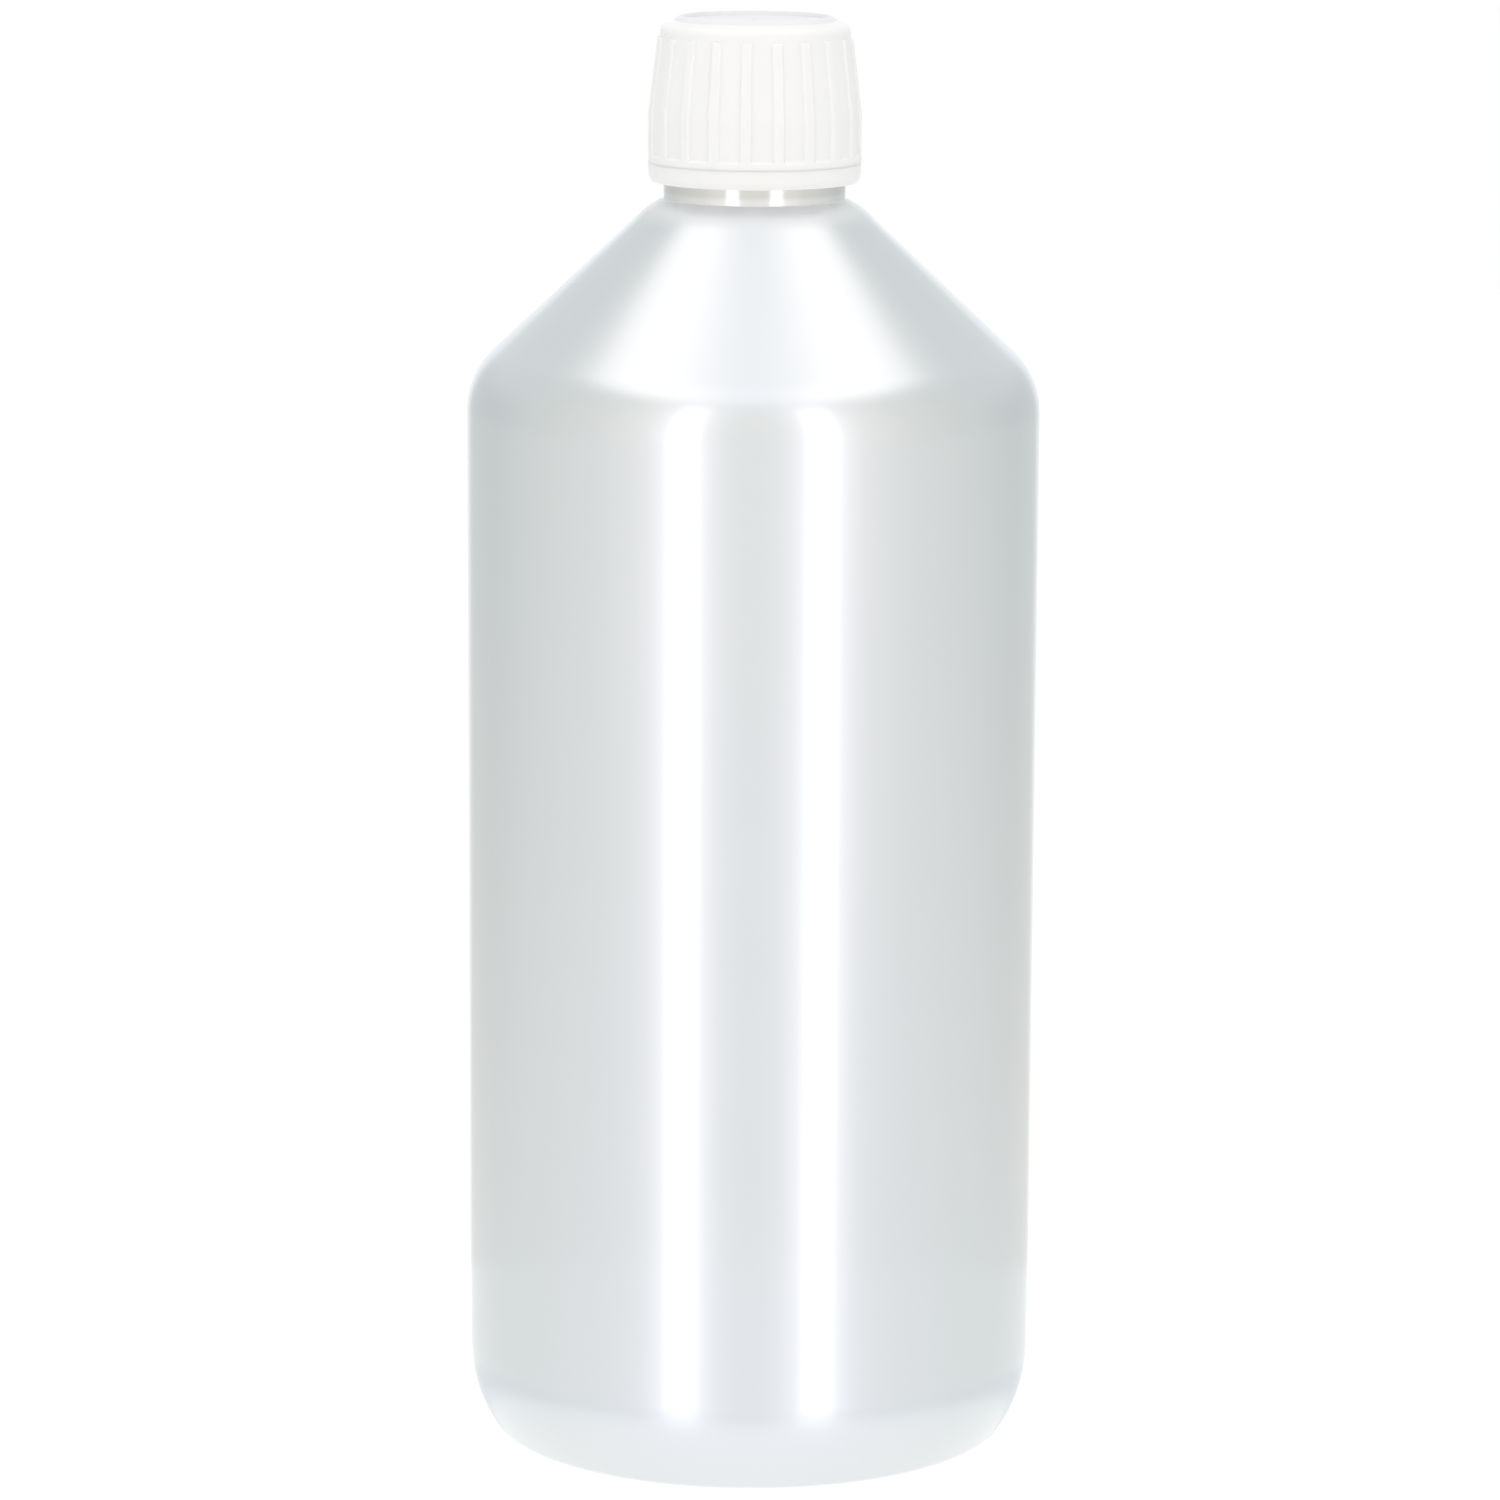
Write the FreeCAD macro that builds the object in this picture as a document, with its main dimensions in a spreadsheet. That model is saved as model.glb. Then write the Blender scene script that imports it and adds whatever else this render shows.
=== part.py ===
import FreeCAD, Part
import math
import os
import re
import Sketcher

# An aluminium bottle of about one litre with a ribbed screw cap, in millimetres.
# The origin is the middle of the base, +Z runs up the bottle's axis, and -Y is the front.
#
# The bottle is one seamless shell: a recessed base, a straight wall, a conical shoulder
# and a neck that carries a catch bead, an outside thread and a rolled lip.
# A tamper ring hangs loose round the neck under the bead. The cap screws on above it,
# and a soft disc inside the cap seals the lip.

# Driving sizes. Each one is written once, and everything else follows from them.
SIZES = {
    # The shell, from the wall down to the base and up to the neck.
    "body_radius": (44.0, "outside of the straight wall"),
    "wall": (0.75, "thickness of the wall, shoulder and lower neck"),
    "shoulder_height": (165.7, "where the lines of the wall and the cone meet"),
    "shoulder_round": (12.7, "outside rounding between wall and cone"),
    "cone_angle": (46.9, "between the cone and the axis, in degrees"),
    "neck_radius": (14.0, "outside of the plain neck"),
    "neck_round": (2.2, "hollow rounding at the foot of the neck"),
    "heel_height": (6.9, "where the lines of the wall and the heel meet"),
    "heel_angle": (31.7, "between the heel and the axis, in degrees"),
    "heel_flat": (0.3, "straight stretch between the heel's two outside roundings"),
    "foot_round": (2.3, "outside rounding from the heel into the foot ring"),
    "foot_width": (3.2, "between the two corners of the foot ring"),
    "step_width": (2.0, "width of the step inside the foot ring"),
    "panel_rise": (2.4, "height of the recessed base panel over the foot ring"),
    "base_wall": (1.2, "thickness of the base, measured upright"),

    # The neck finish, the part of the neck that the closure fits.
    "finish_height": (23.4, "from the neck's foot up to the lip"),
    "bead_rise": (0.85, "how far the catch bead stands out from the plain neck"),
    "bead_height": (1.25, "height of the bead's outer face"),
    "bead_slope": (1.7, "height of the slope above the bead"),
    "thread_draw": (1.1, "how far the threaded stretch is drawn in from the plain neck"),
    "finish_wall": (1.7, "thickness of the threaded stretch, from its root to the bore"),
    "bore_step": (2.6, "height over which the bore narrows to the mouth"),
    "thread_depth": (0.8, "height of the thread above its root"),
    "thread_pitch": (3.18, "rise in one turn"),
    "thread_turns": (1.75, "turns of thread on the neck, and in the cap"),
    "thread_foot": (1.6, "width of the thread at its root"),
    "thread_crest": (0.8, "width of the thread at its crest"),
    "thread_start": (2.4, "from the bead's slope to the thread's first section"),
    "lip_rise": (0.05, "how far the rolled lip stands out from the thread's root"),
    "lip_height": (2.3, "height of the rolled lip"),
    "lip_flat": (0.15, "flat stretch on top of the lip, between its two roundings"),
    "relief_depth": (0.6, "how deep the neck is drawn in under the lip"),
    "relief_height": (3.0, "height of that drawn-in stretch"),

    # The tamper ring.
    "ring_gap": (1.7, "from the neck's foot up to the ring"),
    "ring_height": (2.85, "height of the ring"),
    "ring_foot_wall": (0.65, "thickness of the ring at its lower edge"),
    "ring_bend_wall": (1.02, "thickness of the ring where its slope eases"),
    "ring_bend_height": (0.9, "height of that bend"),
    "hem_wall": (1.18, "thickness of ring and cap at the split between them"),
    "lug_count": (12.0, "lugs that hold the ring under the bead"),
    "lug_angle": (16.0, "width of a lug, in degrees"),
    "lug_top": (1.1, "height of the lugs' catch above the ring's lower edge"),
    "lug_face": (0.55, "height of a lug's inner face"),
    "lug_root": (0.28, "height above the ring's lower edge where a lug leaves the ring"),
    "bridge_angle": (2.5, "width of a breakable bridge, in degrees"),
    "bridge_depth": (0.5, "depth of a bridge, measured outwards"),

    # The cap, in heights above its lower edge.
    "slit": (0.08, "the cut between ring and cap"),
    "hem_height": (1.0, "plain hem under the grooves"),
    "sill_height": (0.5, "slope from the hem in to the groove floors"),
    "grip_draw": (0.36, "how far the groove floors lie inside the hem"),
    "grip_bend": (7.5, "height where the grip starts to taper"),
    "crown_wall": (1.2, "from the disc's seat out to the groove floors' upper end"),
    "rib_count": (20.0, "ribs round the grip"),
    "rib_angle": (6.0, "width of a rib, in degrees"),
    "rib_phase": (13.0, "from +X to the middle of the first rib, in degrees"),
    "rib_depth": (0.45, "height of the ribs above the groove floors"),
    "rib_foot": (0.6, "height where the ribs start, under the hem's face"),
    "rib_sink": (0.045, "how far their start lies under that face"),
    "rib_full": (2.0, "height where the ribs reach their full depth"),
    "rib_end": (0.3, "from the upper end of the ribs to that of the floors"),
    "rib_end_slope": (0.15, "rise of a rib's upper end towards the cap's axis"),
    "collar_taper": (0.06, "how much the plain collar above the ribs narrows"),
    "collar_height": (1.45, "height of that collar up to the sloping ledge"),
    "collar_round": (1.2, "rounding from the collar into the ledge"),
    "ledge_width": (2.04, "from the collar in to the rim's foot"),
    "ledge_rise": (0.8, "rise of the ledge up to the rim"),
    "rim_height": (0.71, "height of the rim above the ledge"),
    "rim_slope": (0.8, "how far the rim's outer face leans in"),
    "rim_round": (1.1, "rounding of the rim's outer edge"),
    "rim_width": (1.2, "width of the rim's top, between its corners"),
    "dish_depth": (0.66, "depth of the dished top inside the rim"),
    "dish_slope": (0.6, "how far the rim's inner face leans out"),
    "top_wall": (1.58, "thickness of the cap's top inside the rim"),
    "mouth_slope": (1.6, "height over which the cap's inside narrows to its thread"),
    "seat_height": (5.3, "height of the stretch that holds the lip and the sealing disc"),

    # Fits between the pieces, and the sealing disc.
    "lug_play": (0.25, "between the lugs and the neck, and up to the bead"),
    "ring_play": (0.25, "between the bead and the ring"),
    "thread_play": (0.25, "between a thread's crest and the wall across from it"),
    "flank_play": (0.1, "between the threads' flanks, along the axis"),
    "lip_play": (0.35, "between the lip and the inside of the cap"),
    "seal_gap": (0.05, "between the sealing disc and what it lies on"),
    "disc_play": (0.1, "between the disc's rim and the cap"),
    "disc_thickness": (1.05, "thickness of the sealing disc"),

    # How far a raised detail is sunk into the wall that carries it.
    "root_depth": (0.3, "depth of a rib's, lug's or thread's root in its wall"),
}

# Heights and radii that follow from the driving sizes, as sheet expressions.
NECK_FOOT = "(shoulder_height + (body_radius - neck_radius) / tan(cone_angle))"
FOOT_CORNER = "(body_radius - heel_height * tan(heel_angle))"
FOOT_INNER = f"({FOOT_CORNER} - foot_width)"
PANEL_EDGE = f"({FOOT_INNER} - step_width)"
# The rounding from the wall into the heel takes what the slope and the foot's rounding leave.
HEEL_SLOPE = "(heel_height / cos(heel_angle))"
FOOT_REACH = "(foot_round * tan(45 - heel_angle / 2))"
HEEL_ROUND = f"(({HEEL_SLOPE} - {FOOT_REACH} - heel_flat) / tan(heel_angle / 2))"

BEAD_RADIUS = "(neck_radius + bead_rise)"
ROOT_RADIUS = "(neck_radius - thread_draw)"
CREST_RADIUS = f"({ROOT_RADIUS} + thread_depth)"
BORE_RADIUS = f"({ROOT_RADIUS} - finish_wall)"
RELIEF_RADIUS = f"({ROOT_RADIUS} - relief_depth)"
LIP_RADIUS = f"({ROOT_RADIUS} + lip_rise)"
LIP_ROUND = f"(({LIP_RADIUS} - {BORE_RADIUS} - lip_flat) / 2)"
RING_BORE = f"({BEAD_RADIUS} + ring_play)"
HEM_RADIUS = f"({RING_BORE} + hem_wall)"
CAP_BORE = f"({CREST_RADIUS} + thread_play)"
DISC_BORE = f"({LIP_RADIUS} + lip_play)"

RING_FOOT = f"({NECK_FOOT} + ring_gap)"
CAP_FOOT = f"({RING_FOOT} + ring_height + slit)"
BEAD_FOOT = f"({RING_FOOT} + lug_top + lug_play)"
BEAD_TOP = f"({BEAD_FOOT} + bead_height)"
THREAD_FLOOR = f"({BEAD_TOP} + bead_slope)"
THREAD_START = f"({THREAD_FLOOR} + thread_start)"
LIP_TOP = f"({NECK_FOOT} + finish_height)"
LIP_FOOT = f"({LIP_TOP} - lip_height)"
DISC_FOOT = f"({LIP_TOP} + seal_gap)"
CAP_CEILING = f"({DISC_FOOT} + disc_thickness + seal_gap - {CAP_FOOT})"
# The cap's thread lies under the neck's, flank to flank, so that it pulls the cap down.
CAP_THREAD_START = (
    f"({THREAD_START} - (thread_foot + thread_crest) / 2 - 2 * flank_play - {CAP_FOOT})"
)

doc = FreeCAD.newDocument("bottle")
sheet = doc.addObject("Spreadsheet::Sheet", "sizes")
for row, (alias, (number, meaning)) in enumerate(SIZES.items(), start=1):
    sheet.set(f"A{row}", alias)
    sheet.set(f"B{row}", str(number))
    sheet.set(f"C{row}", meaning)
    sheet.setAlias(f"B{row}", alias)
doc.recompute()


def bound(text):
    """Write an expression so that every size in it points to its cell."""
    return re.sub(r"[a-z]\w*", lambda word: "sizes." + word[0] if word[0] in SIZES else word[0], text)


def measured(text):
    """The present value of an expression, in millimetres or degrees."""
    result = sheet.evalExpression(bound(text))
    return float(getattr(result, "Value", result))


def origin_part(body, role):
    """One of a body's own origin planes or axes."""
    return next(part for part in body.Origin.OriginFeatures if part.Role == role)


def new_body(name, height="0"):
    """A body whose own zero lies at the given height on the bottle's axis."""
    body = doc.addObject("PartDesign::Body", name)
    body.Label = name
    body.setExpression(".Placement.Base.z", bound(height))
    return body


def rounded(before, corner, after, radius):
    """The arc of a rounded corner: where it starts, where it ends and its centre."""
    back = (before - corner).normalize()
    ahead = (after - corner).normalize()
    half_angle = back.getAngle(ahead) / 2
    reach = radius / math.tan(half_angle)
    centre = corner + (back + ahead).normalize() * (radius / math.sin(half_angle))
    return corner + back * reach, corner + ahead * reach, centre


def arc_through(start, end, centre):
    """An arc and whether it runs anticlockwise from start to end."""
    radius = (start - centre).Length
    circle = Part.Circle(centre, FreeCAD.Vector(0, 0, 1), radius)
    first = math.atan2(start.y - centre.y, start.x - centre.x)
    last = math.atan2(end.y - centre.y, end.x - centre.x)
    anticlockwise = math.sin(last - first) > 0
    if anticlockwise:
        return Part.ArcOfCircle(circle, first, last), True
    return Part.ArcOfCircle(circle, last, first), False


def outline(body, name, corners, turned="0"):
    """A closed sketch in the plane of the axis.

    Each corner is a radius from the axis and a height, and may have a rounding. The
    plane may be turned round the axis by an angle. Every number is an expression.
    """
    sketch = body.newObject("Sketcher::SketchObject", name)
    sketch.AttachmentSupport = (origin_part(body, "XZ_Plane"), [""])
    sketch.MapMode = "FlatFace"
    if turned != "0":
        level = FreeCAD.Rotation(FreeCAD.Vector(0, 1, 0), measured(turned))
        sketch.AttachmentOffset = FreeCAD.Placement(FreeCAD.Vector(), level)
        sketch.setExpression(".AttachmentOffset.Rotation.Angle", bound(turned))

    points = [FreeCAD.Vector(measured(corner[0]), measured(corner[1]), 0) for corner in corners]
    count = len(corners)
    arrivals = list(points)
    departures = list(points)
    arcs = {}
    for index, corner in enumerate(corners):
        if len(corner) == 3:
            neighbours = points[index - 1], points[index], points[(index + 1) % count]
            start, end, centre = rounded(*neighbours, measured(corner[2]))
            arrivals[index] = start
            departures[index] = end
            arcs[index] = arc_through(start, end, centre)

    # Side number i runs from corner i to the next one.
    for index in range(count):
        sketch.addGeometry(Part.LineSegment(departures[index], arrivals[(index + 1) % count]))

    rules = []
    bindings = []

    def place(shape, vertex, corner):
        """Hold a point at its radius and height."""
        for kind, axis, text in (("DistanceX", -2, corner[0]), ("DistanceY", -1, corner[1])):
            if text == "0":
                rules.append(Sketcher.Constraint("PointOnObject", shape, vertex, axis))
            else:
                rules.append(Sketcher.Constraint(kind, -1, 1, shape, vertex, measured(text)))
                bindings.append((len(rules) - 1, text))

    for index, corner in enumerate(corners):
        side_before = (index - 1) % count
        if index not in arcs:
            rules.append(Sketcher.Constraint("Coincident", side_before, 2, index, 1))
            place(index, 1, corner)
            continue
        shape, anticlockwise = arcs[index]
        arc = sketch.addGeometry(shape)
        entry, leave = (1, 2) if anticlockwise else (2, 1)
        rules.append(Sketcher.Constraint("Tangent", side_before, 2, arc, entry))
        rules.append(Sketcher.Constraint("Tangent", arc, leave, index, 1))
        rules.append(Sketcher.Constraint("Radius", arc, measured(corner[2])))
        bindings.append((len(rules) - 1, corner[2]))
        sharp = sketch.addGeometry(Part.Point(points[index]), True)
        rules.append(Sketcher.Constraint("PointOnObject", sharp, 1, side_before))
        rules.append(Sketcher.Constraint("PointOnObject", sharp, 1, index))
        place(sharp, 1, corner)

    sketch.addConstraint(rules)
    for number, text in bindings:
        sketch.setExpression(f"Constraints[{number}]", bound(text))
    return sketch


def revolve(body, name, sketch, angle="360"):
    """Turn an outline round the axis, all the way or evenly to both sides of its plane."""
    feature = body.newObject("PartDesign::Revolution", name)
    feature.Profile = (sketch, [""])
    feature.ReferenceAxis = (sketch, ["V_Axis"])
    feature.Angle = measured(angle)
    if angle != "360":
        feature.Midplane = True
        feature.setExpression("Angle", bound(angle))
    return feature


def thread_section(body, wall_radius, crest_radius, sunk, height):
    """A thread's section at its start: a ridge on a wall, with its root sunk into the wall."""
    root = f"{wall_radius} + {sunk}"
    return outline(body, "thread_section", [
        (root, f"{height} - thread_foot / 2"),
        (wall_radius, f"{height} - thread_foot / 2"),
        (crest_radius, f"{height} - thread_crest / 2"),
        (crest_radius, f"{height} + thread_crest / 2"),
        (wall_radius, f"{height} + thread_foot / 2"),
        (root, f"{height} + thread_foot / 2"),
    ])


def thread(body, name, sketch):
    """Carry a thread's section along its helix."""
    feature = body.newObject("PartDesign::AdditiveHelix", name)
    feature.Profile = (sketch, [""])
    feature.ReferenceAxis = (sketch, ["V_Axis"])
    feature.Mode = "pitch-turns-angle"
    feature.Pitch = measured("thread_pitch")
    feature.Turns = measured("thread_turns")
    feature.setExpression("Pitch", bound("thread_pitch"))
    feature.setExpression("Turns", bound("thread_turns"))
    return feature


def repeat(body, name, features, number):
    """Set copies of the features evenly round the axis."""
    pattern = body.newObject("PartDesign::PolarPattern", name)
    pattern.Originals = features
    pattern.Axis = (origin_part(body, "Z_Axis"), [""])
    pattern.Angle = 360
    pattern.Occurrences = round(measured(number))
    pattern.setExpression("Occurrences", bound(number))
    body.Tip = pattern
    return pattern


def make_bottle():
    """The seamless shell, with its neck finish and thread."""
    body = new_body("bottle")
    inner_radius = "(body_radius - wall)"
    inner_neck = "(neck_radius - wall)"
    bore_start = f"({BEAD_FOOT} - wall)"
    # The inside keeps one wall's distance from slanting faces, measured square to them.
    cone_drop = "wall * tan(cone_angle / 2)"
    heel_lift = "wall * tan(heel_angle / 2)"
    heel_inner = f"({FOOT_CORNER} + base_wall * tan(heel_angle) - wall / cos(heel_angle))"
    shell = outline(body, "shell_section", [
        ("0", "panel_rise"),
        (PANEL_EDGE, "panel_rise"),
        (FOOT_INNER, "0"),
        (FOOT_CORNER, "0", "foot_round"),
        ("body_radius", "heel_height", HEEL_ROUND),
        ("body_radius", "shoulder_height", "shoulder_round"),
        ("neck_radius", NECK_FOOT, "neck_round"),
        ("neck_radius", BEAD_FOOT),
        (BEAD_RADIUS, BEAD_FOOT),
        (BEAD_RADIUS, BEAD_TOP),
        (ROOT_RADIUS, THREAD_FLOOR),
        (ROOT_RADIUS, f"{LIP_FOOT} - relief_height"),
        (RELIEF_RADIUS, f"{LIP_FOOT} - relief_height + relief_depth"),
        (RELIEF_RADIUS, f"{LIP_FOOT} - ({LIP_RADIUS} - {RELIEF_RADIUS})"),
        (LIP_RADIUS, LIP_FOOT),
        (LIP_RADIUS, LIP_TOP, LIP_ROUND),
        (BORE_RADIUS, LIP_TOP, LIP_ROUND),
        (BORE_RADIUS, f"{bore_start} + bore_step"),
        (inner_neck, bore_start),
        (inner_neck, f"{NECK_FOOT} - {cone_drop}", "neck_round + wall"),
        (inner_radius, f"shoulder_height - {cone_drop}", "shoulder_round - wall"),
        (inner_radius, f"heel_height + {heel_lift}", f"{HEEL_ROUND} - wall"),
        (heel_inner, "base_wall"),
        (FOOT_INNER, "base_wall"),
        (PANEL_EDGE, "panel_rise + base_wall"),
        ("0", "panel_rise + base_wall"),
    ])
    revolve(body, "shell", shell)
    ridge = thread_section(body, ROOT_RADIUS, CREST_RADIUS, "-root_depth", THREAD_START)
    body.Tip = thread(body, "neck_thread", ridge)
    return body


def make_tamper_band():
    """The ring left on the neck, with its lugs and the broken bridges on its upper edge."""
    body = new_body("tamper_band", RING_FOOT)
    ring = outline(body, "ring_section", [
        (f"{RING_BORE} + ring_foot_wall", "0"),
        (f"{RING_BORE} + ring_bend_wall", "ring_bend_height"),
        (HEM_RADIUS, "ring_height"),
        (RING_BORE, "ring_height"),
        (RING_BORE, "0"),
    ])
    revolve(body, "ring", ring)
    lug_tip = "neck_radius + lug_play"
    lug_back = f"{RING_BORE} + root_depth"
    lug = outline(body, "lug_section", [
        (lug_back, "lug_top"),
        (lug_tip, "lug_top"),
        (lug_tip, "lug_top - lug_face"),
        (lug_back, "lug_root"),
    ])
    lug_piece = revolve(body, "lug", lug, "lug_angle")
    bridge_foot = "ring_height - root_depth"
    bridge_inner = f"{RING_BORE} + (hem_wall - bridge_depth) / 2"
    bridge_outer = f"{RING_BORE} + (hem_wall + bridge_depth) / 2"
    bridge = outline(body, "bridge_section", [
        (bridge_inner, bridge_foot),
        (bridge_outer, bridge_foot),
        (bridge_outer, "ring_height + slit"),
        (bridge_inner, "ring_height + slit"),
    ])
    bridge_piece = revolve(body, "bridge", bridge, "bridge_angle")
    repeat(body, "lugs_and_bridges", [lug_piece, bridge_piece], "lug_count")
    return body


def make_cap():
    """The screw cap: a hollow moulding with its thread inside and twenty ribs outside."""
    body = new_body("cap", CAP_FOOT)
    rim_top = f"({CAP_CEILING} + top_wall + dish_depth)"
    rim_foot = f"({rim_top} - rim_height)"
    ledge_height = f"({rim_foot} - ledge_rise)"
    grip_top = f"({ledge_height} - collar_height)"
    grip_radius = f"({HEM_RADIUS} - grip_draw)"
    grip_top_radius = f"({DISC_BORE} + crown_wall)"
    collar_radius = f"({grip_top_radius} - collar_taper)"
    rim_radius = f"({collar_radius} - ledge_width)"
    rim_corner = f"({rim_radius} - rim_slope)"
    rim_inner = f"({rim_corner} - rim_width)"
    seat_foot = f"({CAP_CEILING} - seat_height)"
    moulding = outline(body, "cap_section", [
        ("0", f"{rim_top} - dish_depth"),
        (f"{rim_inner} - dish_slope", f"{rim_top} - dish_depth"),
        (rim_inner, rim_top),
        (rim_corner, rim_top, "rim_round"),
        (rim_radius, rim_foot),
        (collar_radius, ledge_height, "collar_round"),
        (grip_top_radius, grip_top),
        (grip_radius, "grip_bend"),
        (grip_radius, "hem_height + sill_height"),
        (HEM_RADIUS, "hem_height"),
        (HEM_RADIUS, "0"),
        (RING_BORE, "0"),
        (CAP_BORE, "mouth_slope"),
        (CAP_BORE, f"{seat_foot} - ({CAP_BORE} - {DISC_BORE})"),
        (DISC_BORE, seat_foot),
        (DISC_BORE, CAP_CEILING),
        ("0", CAP_CEILING),
    ])
    revolve(body, "moulding", moulding)
    tip_radius = f"({ROOT_RADIUS} + thread_play)"
    ridge = thread_section(body, CAP_BORE, tip_radius, "root_depth", CAP_THREAD_START)
    thread(body, "cap_thread", ridge)
    rib_top = f"({grip_top} - rib_end)"
    rib = outline(body, "rib_section", [
        (f"{grip_radius} - root_depth", "rib_foot"),
        (f"{HEM_RADIUS} - rib_sink", "rib_foot"),
        (f"{grip_radius} + rib_depth", "rib_full"),
        (f"{grip_radius} + rib_depth", "grip_bend"),
        (f"{grip_top_radius} + rib_depth", rib_top),
        (f"{grip_top_radius} - root_depth", f"{rib_top} + rib_end_slope"),
        (f"{grip_radius} - root_depth", "grip_bend"),
    ], turned="rib_phase")
    rib_piece = revolve(body, "rib", rib, "rib_angle")
    repeat(body, "ribs", [rib_piece], "rib_count")
    return body


def make_cap_liner():
    """The flat sealing disc that lies between the lip and the cap's ceiling."""
    disc = doc.addObject("Part::Cylinder", "cap_liner")
    disc.Label = "cap_liner"
    disc.setExpression("Radius", bound(f"{DISC_BORE} - disc_play"))
    disc.setExpression("Height", bound("disc_thickness"))
    disc.setExpression(".Placement.Base.z", bound(DISC_FOOT))
    return disc


pieces = [make_bottle(), make_tamper_band(), make_cap(), make_cap_liner()]
doc.recompute()

for thing in doc.Objects:
    if "Invalid" in thing.State or "Error" in thing.State:
        raise RuntimeError(f"{thing.Label} failed: {thing.State}")
for piece in pieces:
    shape = piece.Shape
    if shape.isNull() or not shape.isValid() or len(shape.Solids) != 1:
        raise RuntimeError(f"{piece.Label} is not one sound solid")

os.makedirs("parts", exist_ok=True)
for piece in pieces:
    piece.Shape.exportStep(f"parts/{piece.Label}.step")
    box = piece.Shape.BoundBox
    print(f"{piece.Label}: {piece.Shape.Volume:.1f} mm3, {len(piece.Shape.Faces)} faces,"
          f" z {box.ZMin:.2f} to {box.ZMax:.2f}, width {box.XLength:.2f}")
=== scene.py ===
# %% [markdown]
# # An aluminium bottle with a ribbed screw cap
# The real object is a seamless one-litre bottle of thin aluminium with a satin skin, closed by a
# white moulded cap. Under the cap hangs the tamper ring, which stays on the neck when the cap is
# unscrewed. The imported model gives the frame: every new piece is drawn in the same place, in
# metres, and rides on the body that its node belongs to.

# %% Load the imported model
import math
import bmesh
import bpy
from mathutils import Matrix, Vector


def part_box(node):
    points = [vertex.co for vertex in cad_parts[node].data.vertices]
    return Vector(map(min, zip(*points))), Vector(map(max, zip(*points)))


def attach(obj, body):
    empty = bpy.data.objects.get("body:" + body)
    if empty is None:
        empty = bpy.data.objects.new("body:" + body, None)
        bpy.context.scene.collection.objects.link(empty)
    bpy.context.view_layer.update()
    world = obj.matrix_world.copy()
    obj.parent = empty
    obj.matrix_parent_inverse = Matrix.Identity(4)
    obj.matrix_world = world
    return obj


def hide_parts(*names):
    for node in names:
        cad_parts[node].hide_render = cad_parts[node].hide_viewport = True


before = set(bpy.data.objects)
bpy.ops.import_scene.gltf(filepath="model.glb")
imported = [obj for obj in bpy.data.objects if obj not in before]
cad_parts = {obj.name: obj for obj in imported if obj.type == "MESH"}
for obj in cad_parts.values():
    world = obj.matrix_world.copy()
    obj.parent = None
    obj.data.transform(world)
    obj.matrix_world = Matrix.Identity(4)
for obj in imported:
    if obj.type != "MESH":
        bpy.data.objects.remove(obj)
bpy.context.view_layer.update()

# %% [markdown]
# ## The camera
# The photograph is taken with a long lens from a little above, so the bottle's lines hardly
# converge and the cap's top shows as a thin ellipse. The camera looks along +Y.

# %% Place the camera
CAMERA_PLACE = (0.0, -0.942756, 0.285151)
CAMERA_PITCH = 10.6945
CAMERA_ROLL = 0.2895
CAMERA_LENS = 148.386
CAMERA_SHIFT = -0.00118

camera_data = bpy.data.cameras.new("camera")
camera_data.lens = CAMERA_LENS
camera_data.sensor_width = 36.0
camera_data.shift_x = CAMERA_SHIFT
camera = bpy.data.objects.new("camera", camera_data)
camera.matrix_world = (
    Matrix.Translation(CAMERA_PLACE)
    @ Matrix.Rotation(math.radians(90 - CAMERA_PITCH), 4, "X")
    @ Matrix.Rotation(math.radians(CAMERA_ROLL), 4, "Z")
)
bpy.context.scene.collection.objects.link(camera)
bpy.context.scene.camera = camera

# %% [markdown]
# ## Drawing a section and spinning it
# All three rigid pieces are turned shapes, so each starts as a section: a chain of edges in the
# plane of the axis. A pen walks from corner to corner. It draws a straight run by extruding its
# vertex, and a rounded corner by spinning that vertex about the corner's centre. Each straight
# run gets a guard vertex near both its ends, so that the smooth shading of a rounding doesn't
# spread over the flat face next to it.

# %% The pen that draws sections
MM = 0.001
GUARD = 0.00025
AXIS = Vector((0, 0, 1))
WIDE_STEP = math.radians(3)
SMALL_STEP = math.radians(14)
SMALL_ROUND = 1.3 * MM


def only_vertices(parts):
    """The vertices among the parts that an operator gives back."""
    return [part for part in parts if isinstance(part, bmesh.types.BMVert)]


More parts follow.
